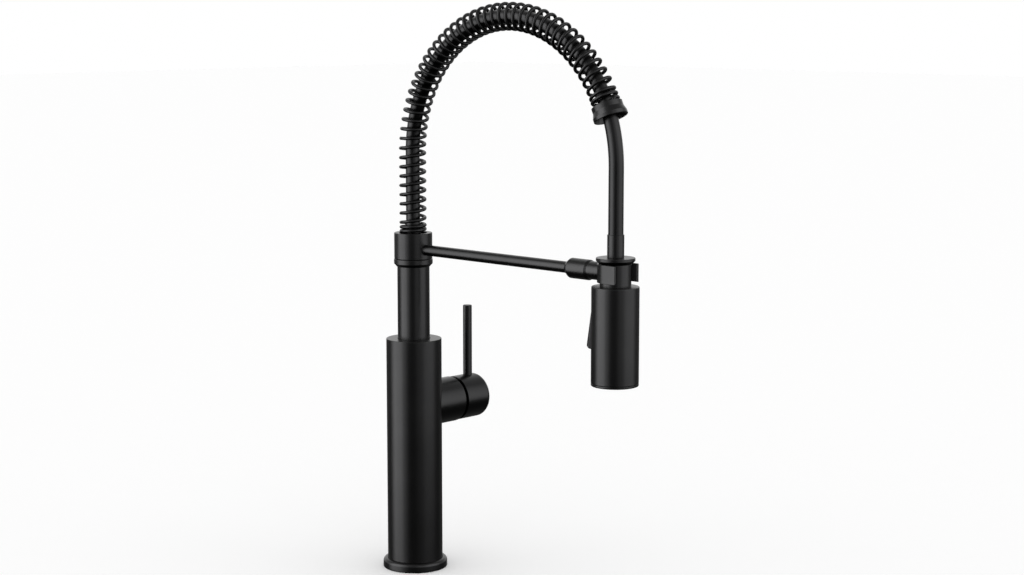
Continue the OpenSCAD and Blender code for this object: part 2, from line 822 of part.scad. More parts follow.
// Middle of the wire on the helix
function coil_point(t) = arch_point(coil_s(t)) + coil_r * coil_out(coil_s(t), 360 * t);

// An end of the wire: it bends out of the helix and runs straight into what it meets.
// Each entry is [middle, outward direction, direction of the wire].
function wire_end(t, way) =
    let (s = coil_s(t), out = coil_out(s, 360 * t), round_way = way * coil_round(s, 360 * t),
         along = way * arch_along(s), root = coil_point(t))
    [for (step = [1:bend_steps + 1]) let (a = 90 * min(step, bend_steps) / bend_steps)
        [root + bend_r * (sin(a) * round_way + (1 - cos(a)) * along)
            + (step > bend_steps ? wire_d * along : [0, 0, 0]),
         out, cos(a) * round_way + sin(a) * along]];

function flip(rows) = [for (i = [len(rows) - 1:-1:0]) [rows[i][0], rows[i][1], -rows[i][2]]];

coil_rows = [for (i = [0:turns * curl_steps]) let (t = i / curl_steps, s = coil_s(t))
    [coil_point(t), coil_out(s, 360 * t), coil_round(s, 360 * t)]];
wire_rows = concat(flip(wire_end(0, -1)), coil_rows, wire_end(turns, 1));

// Faces of a tube with n rings of k points, and its two ends
function tube_faces(n, k) = concat(
    [for (i = [0:n - 2], j = [0:k - 1]) [i * k + j, (i + 1) * k + j, i * k + (j + 1) % k]],
    [for (i = [0:n - 2], j = [0:k - 1]) [i * k + (j + 1) % k, (i + 1) * k + j, (i + 1) * k + (j + 1) % k]],
    [for (j = [1:k - 2]) [0, j, j + 1]],
    [for (j = [1:k - 2]) [(n - 1) * k, (n - 1) * k + j + 1, (n - 1) * k + j]]);

// Least distance between the middles of neighbouring turns, less the wire
wire_gap = min([for (i = [0:len(wire_rows) - 1])
    min([1e3, for (j = [i + curl_steps - 2:i + curl_steps + 3])
        if (j < len(wire_rows)) norm(wire_rows[i][0] - wire_rows[j][0])])]) - wire_d;

module spring() {
    points = [for (row = wire_rows, j = [0:wire_sides - 1])
        let (a = 360 * j / wire_sides, side = cross(row[2], row[1]))
        row[0] + wire_d / 2 * (cos(a) * row[1] + sin(a) * side)];
    echo(spring_least_gap = wire_gap, turns = turns, open_pitch = open_pitch, rings = len(wire_rows));
    color(finish) polyhedron(points, tube_faces(len(wire_rows), wire_sides));
}

// Cup that ends the spring: the upper rim takes the last turns, and the hose leaves through its plate
module spring_end_cap() {
    plate = cap_floor + 3;
    color(finish) on_arch(cap_angle) turned([
        [seat_r, 0], [cap_rim_r - 0.2, 0], [cap_rim_r, 0.3], [cap_rim_r, cap_len - 7.5],
        [cap_lip_r, cap_len - 3.2], [cap_lip_r, cap_len - 0.4], [cap_lip_r - 0.4, cap_len],
        [cap_lip_r - 1.4, cap_len], [cap_lip_r - 3.2, plate + 1], [guide_r + fit, plate + 1],
        [guide_r + fit, cap_floor], [seat_r, cap_floor]
    ]);
}

module hose_guide_bush() {
    color(plastic) on_arch(cap_angle) tube_at(cap_floor, guide_r, hose_r + 0.4, 4);
}

// Stretch of the hose that starts level with the arch's centre and goes up round it by the angle a
module hose_bend(a) {
    rotate([90, 0, 0]) rotate_extrude(angle = a) translate([arch_r, 0]) difference() {
        circle(hose_r);
        circle(hose_bore_r);
    }
}

module hose_arch() {
    color(rubber) {
        tube_at(hose_foot, hose_r, hose_bore_r, arch_z - hose_foot);
        translate([arch_r, 0, arch_z]) mirror([1, 0, 0]) hose_bend(hose_split);
    }
}

module hose_drop() {
    color(rubber) {
        on_head() tube_at(dock_top + 1, hose_r, hose_bore_r, arch_z - dock_top - 1);
        translate([arch_r, 0, arch_z]) hose_bend(180 - hose_split);
    }
}

// ---- Hose end ----

module hose_sleeve() {
    color(finish) on_head() tube_at(dock_top, sleeve_r, hose_r + 0.05, sleeve_len);
}

// Flange with a cone below it that hangs the head on the clip
module dock_flange() {
    color(finish) on_head() turned([
        [stem_tail_r + fit / 2, dock_z], [dock_r - 2.5, dock_z], [dock_r - 0.4, dock_z + dock_cone],
        [dock_r, dock_z + dock_cone + 0.4], [dock_r, dock_top - 0.4], [dock_r - 0.4, dock_top],
        [stem_tail_r + fit / 2, dock_top]
    ]);
}

// Hose tail that the head turns on
module swivel_stem() {
    color(brass) on_head() difference() {
        union() {
            rod_at(stem_foot, stem_tail_r, dock_top - stem_foot, 0.4, 0);
            rod_at(dock_top, hose_r - 0.1, 1);
            for (step = [0:3])
                translate([0, 0, dock_top + 1 + step * 3.2]) cylinder(r1 = barb_r, r2 = barb_r - 0.5, h = 3.2);
        }
        translate([0, 0, stem_foot - past]) cylinder(r = nipple_bore_r, h = 40);
        tube_at(swivel_seal_z - 1, stem_tail_r + past, swivel_groove_r, 2);
        tube_at(ledge_z - air - 1.3, stem_tail_r + past, stem_tail_r - 0.7, 1.3);
    }
}

module swivel_seal() {
    color(rubber) on_head(swivel_seal_z) rotate_extrude()
        translate([(swivel_bore_r + swivel_groove_r) / 2, 0]) circle(swivel_cord_r);
}

module swivel_circlip() {
    color(steel) on_head(ledge_z - air - 1.2) difference() {
        tube(stem_tail_r + 1.2, stem_tail_r - 0.65, 1.1);
        translate([-stem_tail_r - 2, -1.2, -past]) cube([stem_tail_r, 2.4, 1.1 + 2 * past]);
    }
}

// ---- Spray head ----

module head_neck() {
    color(finish) on_head() difference() {
        rod_at(neck_foot, head_neck_r, dock_z - neck_foot);
        translate([0, 0, neck_foot - past]) cylinder(r = swivel_bore_r, h = dock_z);
        translate([0, 0, neck_foot - past]) cylinder(r = stem_tail_r + 1.6, h = ledge_z - neck_foot + past);
    }
}

// Sleeve on the neck that fills the clip and holds the shell's lid down
module shoulder_ring() {
    color(finish) on_head() turned([
        [head_neck_r + fit / 2, head_top], [shoulder_r, head_top], [shoulder_r, shoulder_top - 0.3],
        [shoulder_r - 0.3, shoulder_top], [head_neck_r + fit / 2, shoulder_top]
    ]);
}

module head_shell() {
    color(finish) facing_head() difference() {
        turned([
            [head_r - head_wall, shell_z], [head_r - 0.2, shell_z], [head_r, shell_z + 0.2],
            [head_r, head_top - 0.4], [head_r - 0.4, head_top], [head_neck_r + fit / 2, head_top],
            [head_neck_r + fit / 2, lid_under], [head_r - head_wall, lid_under]
        ]);
        translate([-head_r - past, -rocker_w / 2 - air, rocker_z0 - air])
            cube([head_r / 2, rocker_w + 2 * air, rocker_h + 2 * air]);
    }
}

module trim_ring() {
    color(finish) on_head() rotate_extrude() difference() {
        round_section(0, head_r, head_z, head_z + trim_h, 0.9, 0.3);
        translate([-past, -past]) square([core_r - 0.5 + past, head_z + trim_h + 2 * past]);
    }
}

// Water way of the head, with the diverter's bore and the rocker's bay
module head_core() {
    color(nylon) facing_head() difference() {
        union() {
            rod_at(core_z, core_r, core_top - core_z);
            rod_at(core_z, stem_tail_r + 1.4, neck_foot + 3 - core_z);
        }
        translate([0, 0, core_z - past]) cylinder(r = spool_bore_r, h = neck_foot + 5 - core_z);
        translate([-core_r - past, -rocker_w / 2 - 0.6, rocker_z0 - 1.5])
            cube([core_r + past + pin_x + rocker_sweep + 1, rocker_w + 1.2, rocker_h + 3]);
        translate([pin_x, -finger_t, pin_z - finger_t]) cube([-pin_x, 2 * finger_t, 2 * finger_t + 2 * spool_travel]);
        rocker_pin_hole(pin_r + 0.02);
    }
}

module rocker_pin_hole(r) {
    translate([pin_x, -pin_out, pin_z]) rotate([-90, 0, 0]) cylinder(r = r, h = 2 * pin_out);
}

module rocker_pin() {
    color(steel) facing_head() rocker_pin_hole(pin_r);
}

// Rocker: the upper end is flush with the shell and the lower lip stands out.
// Its finger reaches into the spool's groove.
module rocker() {
    color(finish) facing_head() difference() {
        union() {
            intersection() {
                translate([0, 0, rocker_z0 + rocker_h]) rotate([0, rocker_lean, 0])
                    translate([0, 0, -2 * rocker_h]) cylinder(r = head_r, h = 3 * rocker_h);
                translate([-head_r - 2 * rocker_lip, -rocker_w / 2, rocker_z0])
                    cube([2 * rocker_lip + head_r + pin_x + rocker_in, rocker_w, rocker_h]);
                translate([pin_x, -rocker_w, pin_z]) rotate([-90, 0, 0]) cylinder(r = rocker_end_r, h = 2 * rocker_w);
            }
            translate([pin_x, -finger_t + 0.5, pin_z - finger_t / 2])
                cube([finger_tip - pin_x, 2 * finger_t - 1, finger_t]);
        }
        rocker_pin_hole(pin_r + run);
    }
}

// Spool that sends the water to the aerator or to the nozzles
module diverter_spool() {
    color(brass) on_head() turned([
        [0, spool_z], [spool_r, spool_z], [spool_r, pin_z - finger_t / 2 - groove_gap],
        [groove_r, pin_z - finger_t / 2 - groove_gap], [groove_r, pin_z + finger_t / 2 + groove_gap],
        [spool_r, pin_z + finger_t / 2 + groove_gap], [spool_r, pin_z + 8], [0, pin_z + 8]
    ]);
}

module spray_plate() {
    color(nylon) on_head() difference() {
        rod_at(plate_z, core_r - 0.6, plate_t, 0, 0);
        translate([0, 0, plate_z - past]) cylinder(r = aerator_r + fit, h = plate_t + 2 * past);
        nozzle_places() translate([0, 0, plate_z - past]) cylinder(r = nozzle_r + fit / 2, h = plate_t + 2 * past, $fn = 24);
    }
}

module nozzle_places() {
    for (i = [0:nozzle_count - 1])
        rotate([0, 0, i * 360 / nozzle_count]) translate([nozzle_ring_r, 0, 0]) children();
}

module spray_nozzles() {
    color(rubber) on_head() nozzle_places() difference() {
        translate([0, 0, plate_z - 0.6]) cylinder(r = nozzle_r, h = plate_t + 0.6, $fn = 24);
        translate([0, 0, plate_z - 1.6]) cylinder(r = 0.5, h = plate_t + 3, $fn = 24);
    }
}

module aerator() {
    color(steel) on_head() difference() {
        rod_at(plate_z - 0.2, aerator_r, plate_t + 0.2, 0.4, 0);
        for (turn = [0:60:300])
            rotate([0, 0, turn]) translate([4, 0, plate_z - past]) cylinder(r = 1.3, h = plate_t + 2 * past, $fn = 24);
        translate([0, 0, plate_z - past]) cylinder(r = 1.3, h = plate_t + 2 * past, $fn = 24);
    }
}

base_ring();
base_gasket();
mounting_shank();
rubber_washer();
steel_washer();
mounting_nut();
jack_screws();
body_shell();
valve_body();
lower_bush();
upper_bush();
gland_ring();
retaining_ring();
riser_seals();
riser_tube();
flange_ring();
collar();
collar_screw();
hub_sleeve();
hub_lip();
bonnet_nut();
cartridge_housing();
cartridge_seal();
fixed_disc();
moving_disc();
cartridge_carrier();
stem_pin();
cartridge_stem();
handle_cap();
lever_rod();
handle_screw();
arm_rod();
arm_nut();
arm_screw();
dock_clip();
clip_liner();
hose_nipple();
spring_seat();
hose_crimp();
spring();
spring_end_cap();
hose_guide_bush();
hose_arch();
hose_drop();
hose_sleeve();
dock_flange();
swivel_stem();
swivel_seal();
swivel_circlip();
head_neck();
shoulder_ring();
head_shell();
trim_ring();
head_core();
diverter_spool();
rocker();
rocker_pin();
spray_plate();
spray_nozzles();
aerator();
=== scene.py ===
# %% [markdown]
# # A pre-rinse faucet in satin black
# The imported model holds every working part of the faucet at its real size, and it doesn't move.
# This notebook dresses it. Turned shells get finer surfaces with broken edges, the spring is
# wound from round wire, the hose becomes one smooth tube, and every part gets a finish that is
# worked out by nodes.

# %% Load the model
import json

import bmesh
import bpy
import numpy as np
from mathutils import Matrix, Vector


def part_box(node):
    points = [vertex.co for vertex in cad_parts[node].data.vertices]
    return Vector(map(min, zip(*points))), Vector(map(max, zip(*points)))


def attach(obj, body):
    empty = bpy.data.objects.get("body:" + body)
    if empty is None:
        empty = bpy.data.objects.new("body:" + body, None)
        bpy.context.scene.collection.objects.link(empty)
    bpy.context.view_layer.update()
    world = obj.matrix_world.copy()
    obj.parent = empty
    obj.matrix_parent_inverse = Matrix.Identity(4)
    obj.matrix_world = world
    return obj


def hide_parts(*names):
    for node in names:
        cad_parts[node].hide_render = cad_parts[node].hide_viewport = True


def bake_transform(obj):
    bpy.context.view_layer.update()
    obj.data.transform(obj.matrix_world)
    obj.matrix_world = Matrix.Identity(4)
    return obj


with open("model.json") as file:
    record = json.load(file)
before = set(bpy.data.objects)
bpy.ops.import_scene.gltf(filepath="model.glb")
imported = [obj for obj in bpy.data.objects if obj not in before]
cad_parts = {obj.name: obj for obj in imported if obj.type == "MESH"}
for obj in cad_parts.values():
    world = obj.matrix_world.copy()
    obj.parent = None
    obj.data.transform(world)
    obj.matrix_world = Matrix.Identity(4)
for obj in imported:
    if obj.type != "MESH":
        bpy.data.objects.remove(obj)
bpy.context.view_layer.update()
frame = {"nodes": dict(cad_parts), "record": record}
nodes = frame["nodes"]

# %% [markdown]
# ## Sizes come from the parts
# A piece that stands for a part has to sit where the part is. Numbers could be typed in again,
# but they would go stale when a size changes, so the main ones are read from the parts' boxes.
# Sizes here are in millimetres, and a mesh's points become metres at the last moment.

# %% Read the sizes
mm = 0.001


def low(part):
    return np.array(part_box(part)[0]) / mm


def high(part):
    return np.array(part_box(part)[1]) / mm


def middle(part):
    return (low(part) + high(part)) / 2


def radius(part, axis=0):
    """Half the width of a round part along one axis."""
    return (high(part)[axis] - low(part)[axis]) / 2


body_r = radius("body_shell")
body_foot, body_top = low("body_shell")[2], high("body_shell")[2]
riser_r = radius("riser_tube")
head_x = middle("trim_ring")[0]
arm_z = middle("arm_rod")[2]
hub_z = middle("hub_sleeve")[2]
print("body", round(2 * body_r, 1), "mm across, reach", round(head_x, 1), "mm")

# %% [markdown]
# ## Finishes as sums
# A finish is a chain of nodes, and chains are hard to read when each link takes a line. A socket
# that knows +, - and * lets the maths be written as maths, and one method adds any other node.


# %% A socket that can be added and multiplied
class Flow:
    """One output of a material's node tree. Sums of flows add Math nodes to the tree."""

    def __init__(self, tree, socket=None):
        self.tree = tree
        self.socket = socket

    def node(self, kind, settings=None, sockets=None, out=0):
        """Adds a node: first its settings, then the values or links of its sockets."""
        made = self.tree.nodes.new(kind)
        for name, value in (settings or {}).items():
            if name == "stops":
                for stop, (place, shade) in zip(made.color_ramp.elements, value):
                    stop.position = place
                    stop.color = shade
            else:
                setattr(made, name, value)
        for name, value in (sockets or {}).items():
            if isinstance(value, Flow):
                self.tree.links.new(value.socket, made.inputs[name])
            else:
                made.inputs[name].default_value = value
        return Flow(self.tree, made.outputs[out])

    def math(self, operation, *values):
        return self.node("ShaderNodeMath", {"operation": operation}, dict(enumerate(values)))

    def __add__(self, other):
        return self.math("ADD", self, other)

    def __sub__(self, other):
        return self.math("SUBTRACT", self, other)

    def __rsub__(self, other):
        return self.math("SUBTRACT", other, self)

    def __mul__(self, other):
        return self.math("MULTIPLY", self, other)

    __radd__ = __add__
    __rmul__ = __mul__


# %% [markdown]
# ## Helpers for a finish
# Most finishes here differ in the same four ways: a colour that drifts a little, a roughness that
# drifts with it, a fine relief, and the grain's direction. All of it reads Object coordinates, in
# metres, so the grain has its real size on every part.


# %% Noise, colours and relief
def start_finish(name):
    """A new material, its shader's sockets, a flow to add nodes from, and the coordinates."""
    material = bpy.data.materials.new(name)
    material.use_nodes = True
    tree = material.node_tree
    flow = Flow(tree)
    place = flow.node("ShaderNodeTexCoord", out="Object")
    return material, tree.nodes["Principled BSDF"].inputs, flow, place


def noise(place, scale, stretch=(1, 1, 1), detail=2.0):
    """Smooth noise from 0 to 1, with that many blobs to the metre, squeezed along each axis."""
    squeezed = place.node("ShaderNodeMapping", {}, {"Vector": place, "Scale": stretch})
    return place.node(
        "ShaderNodeTexNoise", {}, {"Vector": squeezed, "Scale": scale, "Detail": detail}
    )


def colours(amount, dark, light):
    """Blends from dark at 0 to light at 1."""
    return amount.node(
        "ShaderNodeMix",
        {"data_type": "RGBA"},
        {0: amount, 6: (*dark, 1), 7: (*light, 1)},
        out=2,
    )


def relief(height, depth):
    """A normal that tips with the height, which is 0 to 1 over that depth in metres."""
    return height.node("ShaderNodeBump", {}, {"Height": height, "Distance": depth, "Strength": 1.0})


def plug(flow, socket):
    """Links a flow to a socket of the shader."""
    flow.tree.links.new(flow.socket, socket)


# %% [markdown]
# ## Satin black
# The faucet's shells are brass, blasted and coated black. The coat is thin and nearly smooth: it
# keeps a faint orange-peel of about a millimetre and a finer grain left by the blasting. A
# lacquer over black would be the usual choice, but it mirrors 4 % of everything and looks grey. A
# very dark metal mirrors about 1 % face on and all of it at a glancing angle, as this coat does.
# Gloss that wanders a little makes long highlights look real, where one fixed roughness would
# look like plastic.


# %% Satin black coat
def satin_black(name, darkness, gloss_low, gloss_high, grain=2600):
    """A dark metal. Clouds drift its colour and its gloss, and peel and grain are its relief."""
    material, shader, flow, place = start_finish(name)
    cloud = noise(place, 38, detail=3)
    peel = noise(place, 900)
    blasting = noise(place, grain, detail=1)
    plug(colours(cloud, darkness, [1.35 * c for c in darkness]), shader["Base Color"])
    plug(gloss_low + (gloss_high - gloss_low) * (0.6 * cloud + 0.4 * blasting), shader["Roughness"])
    plug(relief(0.7 * peel + 0.3 * blasting, 0.006 * mm), shader["Normal"])
    shader["Metallic"].default_value = 1.0
    return material


# %% [markdown]
# ## Rubber, moulded plastic and ceramic
# These are seen in small amounts: the hose cover, seals, the clip's liner, the spray face. The
# hose cover is extruded, so its marks run along it, while moulded parts have an even, fine grain.


# %% Soft and moulded finishes
def moulded(name, colour, rough, grain=1800, depth=0.01):
    """A matt or polished solid with an even grain, whose depth is in millimetres."""
    material, shader, flow, place = start_finish(name)
    cloud = noise(place, 60)
    fine = noise(place, grain, detail=1)
    plug(colours(cloud, [0.9 * c for c in colour], [1.1 * c for c in colour]), shader["Base Color"])
    plug(rough - 0.04 + 0.08 * fine, shader["Roughness"])
    plug(relief(fine, depth * mm), shader["Normal"])
    return material


# %% [markdown]
# ## Turned and drawn metal
# Brass and steel parts come off a lathe, so their tool marks are rings round the axis. Noise that
# is squeezed hard along one axis and hardly at all along the others draws such rings on every
# part.


# %% Machined metal
def machined(name, colour, rough, rings=(0.02, 0.02, 1)):
    """A bright metal with tool marks across Z and a faint stain."""
    material, shader, flow, place = start_finish(name)
    marks = noise(place, 5200, stretch=rings, detail=2)
    stain = noise(place, 45, detail=3)
    plug(colours(stain, [0.86 * c for c in colour], colour), shader["Base Color"])
    plug(rough + 0.12 * marks + 0.08 * stain, shader["Roughness"])
    plug(relief(marks, 0.004 * mm), shader["Normal"])
    shader["Metallic"].default_value = 1.0
    return material


# %% Make the finishes
finishes = {
    "satin_black": satin_black("satin black coat", (0.0120, 0.0120, 0.0122), 0.28, 0.33),
    "spring_black": satin_black("coated spring wire", (0.0110, 0.0110, 0.0112), 0.34, 0.40, 4200),
    "hose_black": satin_black("hose cover", (0.0100, 0.0100, 0.0102), 0.27, 0.31, 1200),
    "seal_rubber": moulded("seal rubber", (0.022, 0.022, 0.022), 0.62, 1500),
    "black_plastic": moulded("black plastic", (0.020, 0.020, 0.021), 0.50),
    "white_nylon": moulded("natural nylon", (0.78, 0.77, 0.72), 0.45),
    "ceramic": moulded("polished alumina", (0.86, 0.85, 0.81), 0.12, 400, 0.001),
    "steel": machined("stainless steel", (0.62, 0.61, 0.59), 0.24),
    "brass": machined("turned brass", (0.78, 0.58, 0.27), 0.22),
}
for subpart in frame["record"]["subparts"]:
    part = nodes[subpart["node"]]
    part.data.materials.clear()
    part.data.materials.append(finishes[subpart["material_slot"]])
print(len(finishes), "finishes")

# %% [markdown]
# ## Surfaces from arrays
# Every new piece is a grid of points, worked out as one array and then joined into quads. Seams
# are merged afterwards, which also closes the poles where a whole row falls on one point. A
# weighted-normal modifier keeps large faces flat beside small rounded edges.


# %% Grid to mesh
def mesh_from_grids(name, grids, close_rows=True, close_columns=True):
    """Joins each grid of points, shaped rows by columns by 3, into quads, and merges what meets."""
    points, quads, count = [], [], 0
    for grid in grids:
        rows, columns = grid.shape[:2]
        index = count + np.arange(rows * columns).reshape(rows, columns)
        if close_rows:
            index = np.vstack([index, index[:1]])
        if close_columns:
            index = np.hstack([index, index[:, :1]])
        corners = [index[:-1, :-1], index[:-1, 1:], index[1:, 1:], index[1:, :-1]]
        quads.append(np.stack(corners, -1).reshape(-1, 4))
        points.append(grid.reshape(-1, 3))
        count += rows * columns
    mesh = bpy.data.meshes.new(name)
    mesh.from_pydata(np.concatenate(points).tolist(), [], np.concatenate(quads).tolist())
    shape = bmesh.new()
    shape.from_mesh(mesh)
    bmesh.ops.remove_doubles(shape, verts=shape.verts, dist=1e-7)
    bmesh.ops.delete(shape, geom=[e for e in shape.edges if not e.link_faces], context="EDGES")
    bmesh.ops.recalc_face_normals(shape, faces=shape.faces)
    shape.to_mesh(mesh)
    shape.free()
    return mesh


def dress(name, mesh, body, slot, *parts):
    """Makes the mesh a smooth piece that rides on a body and stands for those parts."""
    mesh.shade_smooth()
    mesh.set_sharp_from_angle(angle=np.radians(40))
    piece = bpy.data.objects.new(name, mesh)
    bpy.context.collection.objects.link(piece)
    mesh.materials.append(finishes[slot])
    piece.modifiers.new("even shading", "WEIGHTED_NORMAL").keep_sharp = True
    if body:
        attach(piece, body)
    if parts:
        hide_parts(*parts)
    print(name, "has", len(mesh.polygons), "faces")
    return piece


# %% [markdown]
# ## Outlines with rounded corners
# A turned part is one outline swept round an axis. Its corners are never quite sharp, and the
# small radius is what catches the light, so each corner of an outline carries its own radius.


# %% Rounded outline and turning
def rounded(corners, steps=7):
    """Closed outline through corners (across, along, corner radius).
    Each arc touches both sides of its corner. Its centre lies on the bisector, at the distance
    radius / sin(half the corner's angle), and its points swing evenly between the two sides."""
    corners = np.array(corners, float)
    points, radii = corners[:, :2], corners[:, 2]
    pieces = []
    for before, here, after, r in zip(np.roll(points, 1, 0), points, np.roll(points, -1, 0), radii):
        if r == 0:
            pieces.append(here[None])
            continue
        back = (before - here) / np.linalg.norm(before - here)
        ahead = (after - here) / np.linalg.norm(after - here)
        half = np.arccos(np.clip(back @ ahead, -1, 1)) / 2
        centre = here + (back + ahead) / np.linalg.norm(back + ahead) * r / np.sin(half)
        reach = r / np.tan(half)
        first, last = here + back * reach - centre, here + ahead * reach - centre
        swing, t = np.pi - 2 * half, np.linspace(0, 1, steps + 1)[:, None]
        arc = (np.sin((1 - t) * swing) * first + np.sin(t * swing) * last) / np.sin(swing)
        pieces.append(centre + arc)
    return np.concatenate(pieces)


up = Matrix.Identity(4)


def axis_at(x, y, z, toward="Z"):
    """Matrix that carries a shape drawn along Z to the point, and lays its Z along an axis."""
    turn = {"Z": (0, "X"), "X": (np.pi / 2, "Y"), "Y": (-np.pi / 2, "X")}[toward]
    return Matrix.Translation((x * mm, y * mm, z * mm)) @ Matrix.Rotation(turn[0], 4, turn[1])


def carry(matrix, grid):
    """Moves an array of points by a 4 by 4 matrix."""
    m = np.array(matrix)
    return grid @ m[:3, :3].T + m[:3, 3]


def turned(outline, matrix=up, segments=160):
    """Surface of revolution: the point (r, z) of the outline goes to (r cos t, r sin t, z)."""
    t = np.linspace(0, 2 * np.pi, segments, endpoint=False)
    r, z = outline[:, :1], outline[:, 1:]
    grid = np.stack([r * np.cos(t), r * np.sin(t), z + 0 * t], -1)
    return carry(matrix, grid)


def lathe(name, corners, body, slot, *parts, matrix=up, segments=160):
    """A turned piece from corners in millimetres: (radius, height, corner radius)."""
    outline = rounded(corners) * mm
    on_axis = outline[0, 0] == 0 and outline[-1, 0] == 0
    mesh = mesh_from_grids(name, [turned(outline, matrix, segments)], close_rows=not on_axis)
    return dress(name, mesh, body, slot, *parts)


# %% [markdown]
# ## Column
# The base ring, the body and the ring under the collar are turned parts. Each is drawn as half of
# its cut face, in millimetres. The body's shell also has the round hole that the mixer's boss
# comes through, and one Boolean cuts it: on a tube of one wall that is quicker than working the
# edge out.


# %% Cut a hole
def cut(mesh, cutter):
    """Takes the cutter's shape out of a mesh."""
    work, tool = (bpy.data.objects.new("work", shape) for shape in (mesh, cutter))
    for thing in (work, tool):
        bpy.context.collection.objects.link(thing)
    boolean = work.modifiers.new("cut", "BOOLEAN")
    boolean.object = tool
    boolean.operation = "DIFFERENCE"
    result = work.evaluated_get(bpy.context.evaluated_depsgraph_get())
    done = bpy.data.meshes.new_from_object(result)
    for thing in (work, tool):
        bpy.data.objects.remove(thing)
    done.name = mesh.name
    return done


# %% Base ring and body
free, gap = 0.3, 0.15
shank_hole = radius("mounting_shank") + free
base_r, base_top = radius("base_ring"), high("base_ring")[2]
lathe(
    "turned_base_ring",
    [
        (shank_hole, 0, 0),
        (base_r, 0, 0.8),
        (base_r, base_top, 3.2),
        (body_r + gap, base_top, 0.3),
        (body_r + gap, body_foot, 0),
        (shank_hole, body_foot, 0),
    ],
    "column",
    "satin_black",
    "base_ring",
)
wall, lid = 2.2, 4.0
neck_hole = riser_r + free
body_outline = rounded(
    [
        (body_r - wall, body_foot, 0),
        (body_r, body_foot, 0.2),
        (body_r, body_top, 0.55),
        (neck_hole, body_top, 0.35),
        (neck_hole, body_top - lid, 0),
        (body_r - wall, body_top - lid, 0),
    ]
)
bore_r = 16.4
shell = mesh_from_grids("turned_body", [turned(body_outline * mm)])
drill = np.array([(0, 0), (bore_r, 0), (bore_r, body_r + 5), (0, body_r + 5)]) * mm
drill_at = axis_at(0, 0, hub_z, "Y")
shell = cut(shell, mesh_from_grids("drill", [turned(drill, drill_at, 96)], close_rows=False))
dress("turned_body", shell, "column", "satin_black", "body_shell")

# %% Ring under the collar, and the collar
ring_low, ring_high, ring_r = low("flange_ring")[2], high("flange_ring")[2], radius("flange_ring")
on_riser = riser_r + 0.1
lathe(
    "turned_flange_ring",
    [
        (on_riser, ring_low, 0),
        (riser_r + 0.5, ring_low, 0.15),
        (ring_r, ring_low + 2.6, 0.5),
        (ring_r, ring_high, 0.4),
        (on_riser, ring_high, 0),
    ],
    "spout",
    "satin_black",
    "flange_ring",
)
collar_low, collar_high, collar_r = low("collar")[2], high("collar")[2], radius("collar")
seat_z, seat_r = low("spring_seat")[2], radius("spring_seat") + 0.1
nipple_r = 5.95
socket_top = high("riser_tube")[2]
lathe(
    "turned_collar",
    [
        (on_riser, collar_low, 0),
        (collar_r, collar_low, 0.4),
        (collar_r, collar_high, 0.5),
        (seat_r, collar_high, 0.35),
        (seat_r, seat_z, 0.2),
        (nipple_r, seat_z, 0),
        (nipple_r, socket_top, 0),
        (on_riser, socket_top, 0),
    ],
    "spout",
    "satin_black",
    "collar",
)

# %% [markdown]
# ## Arm and dock clip
# The arm's nut is turned about the arm's own axis, so its matrix lays the outline along X. The
# clip is a strip of steel bent in a U, with a thin plastic lining. Each is a rounded rectangle
# carried along the U. The two tips are rounded by the last few sections, which shrink as a
# quarter circle runs out.

# %% Arm nut
nut_start = low("arm_nut")[0]
arm_r = radius("arm_rod", 1)
nut_r, nut_thin_r = radius("arm_nut", 1), 7.55
clip_r = radius("dock_clip", 1)
into_clip = 2.4
nut_len = head_x - clip_r + into_clip - nut_start
lathe(
    "turned_arm_nut",
    [
        (arm_r + 0.05, 0, 0),
        (arm_r + 0.7, 0, 0.25),
        (nut_r, 4.5, 1.2),
        (nut_r, 24.1, 0.9),
        (nut_thin_r, 26.3, 0.9),
        (nut_thin_r, nut_len, 0),
        (arm_r + 0.05, nut_len, 0),
    ],
    "spout",
    "satin_black",
    "arm_nut",
    matrix=axis_at(nut_start, 0, arm_z, "X"),
    segments=96,
)


# %% A bar carried along the clip's U
def rounded_box(half_wide, half_high, corner, steps=6):
    """Outline of a rectangle with round corners, as points (across, up)."""
    sides = [(1, -1), (1, 1), (-1, 1), (-1, -1)]
    return rounded([(x * half_wide, y * half_high, corner) for x, y in sides], steps)


def u_bar(name, r_in, r_out, z_low, z_high, tip, edge, slot, part):
    """A wall bent in a U round the head's axis: jaw, half circle (-r sin a, -r cos a), jaw.
    Near a tip the section is edge * (1 - sin t) smaller all round at edge * (1 - cos t) from
    its face."""
    r, t, a = (r_in + r_out) / 2, np.linspace(0, np.pi / 2, 6), np.linspace(0, np.pi, 64)
    straight = np.linspace(tip - edge, 0, 8)[1:-1]
    jaw_x = np.append(tip - edge * (1 - np.cos(t)), straight)
    jaw_less = np.append(edge * (1 - np.sin(t)), 0 * straight)
    jaw = np.stack([jaw_x, np.full(len(jaw_x), -r)], -1)
    bend = np.stack([-np.sin(a), -np.cos(a)], -1)
    path = np.concatenate([jaw, r * bend, jaw[::-1] * (1, -1)])
    outward = np.concatenate([0 * jaw + (0, -1), bend, 0 * jaw + (0, 1)])
    rows = []
    for point, away, less in zip(path, outward, np.concatenate([jaw_less, 0 * a, jaw_less[::-1]])):
        half_wide, half_high = (r_out - r_in) / 2 - less, (z_high - z_low) / 2 - less
        section = rounded_box(half_wide, half_high, 1.02 * edge - less)
        rows.append(np.column_stack([point + section[:, :1] * away, section[:, 1]]))
    ends = [np.repeat(row.mean(0)[None], len(row), 0) for row in (rows[0], rows[-1])]
    grid = np.array([ends[0], *rows, ends[1]]) + (head_x, 0, (z_low + z_high) / 2)
    mesh = mesh_from_grids(name, [grid * mm], close_rows=False)
    return dress(name, mesh, "spout", slot, part)


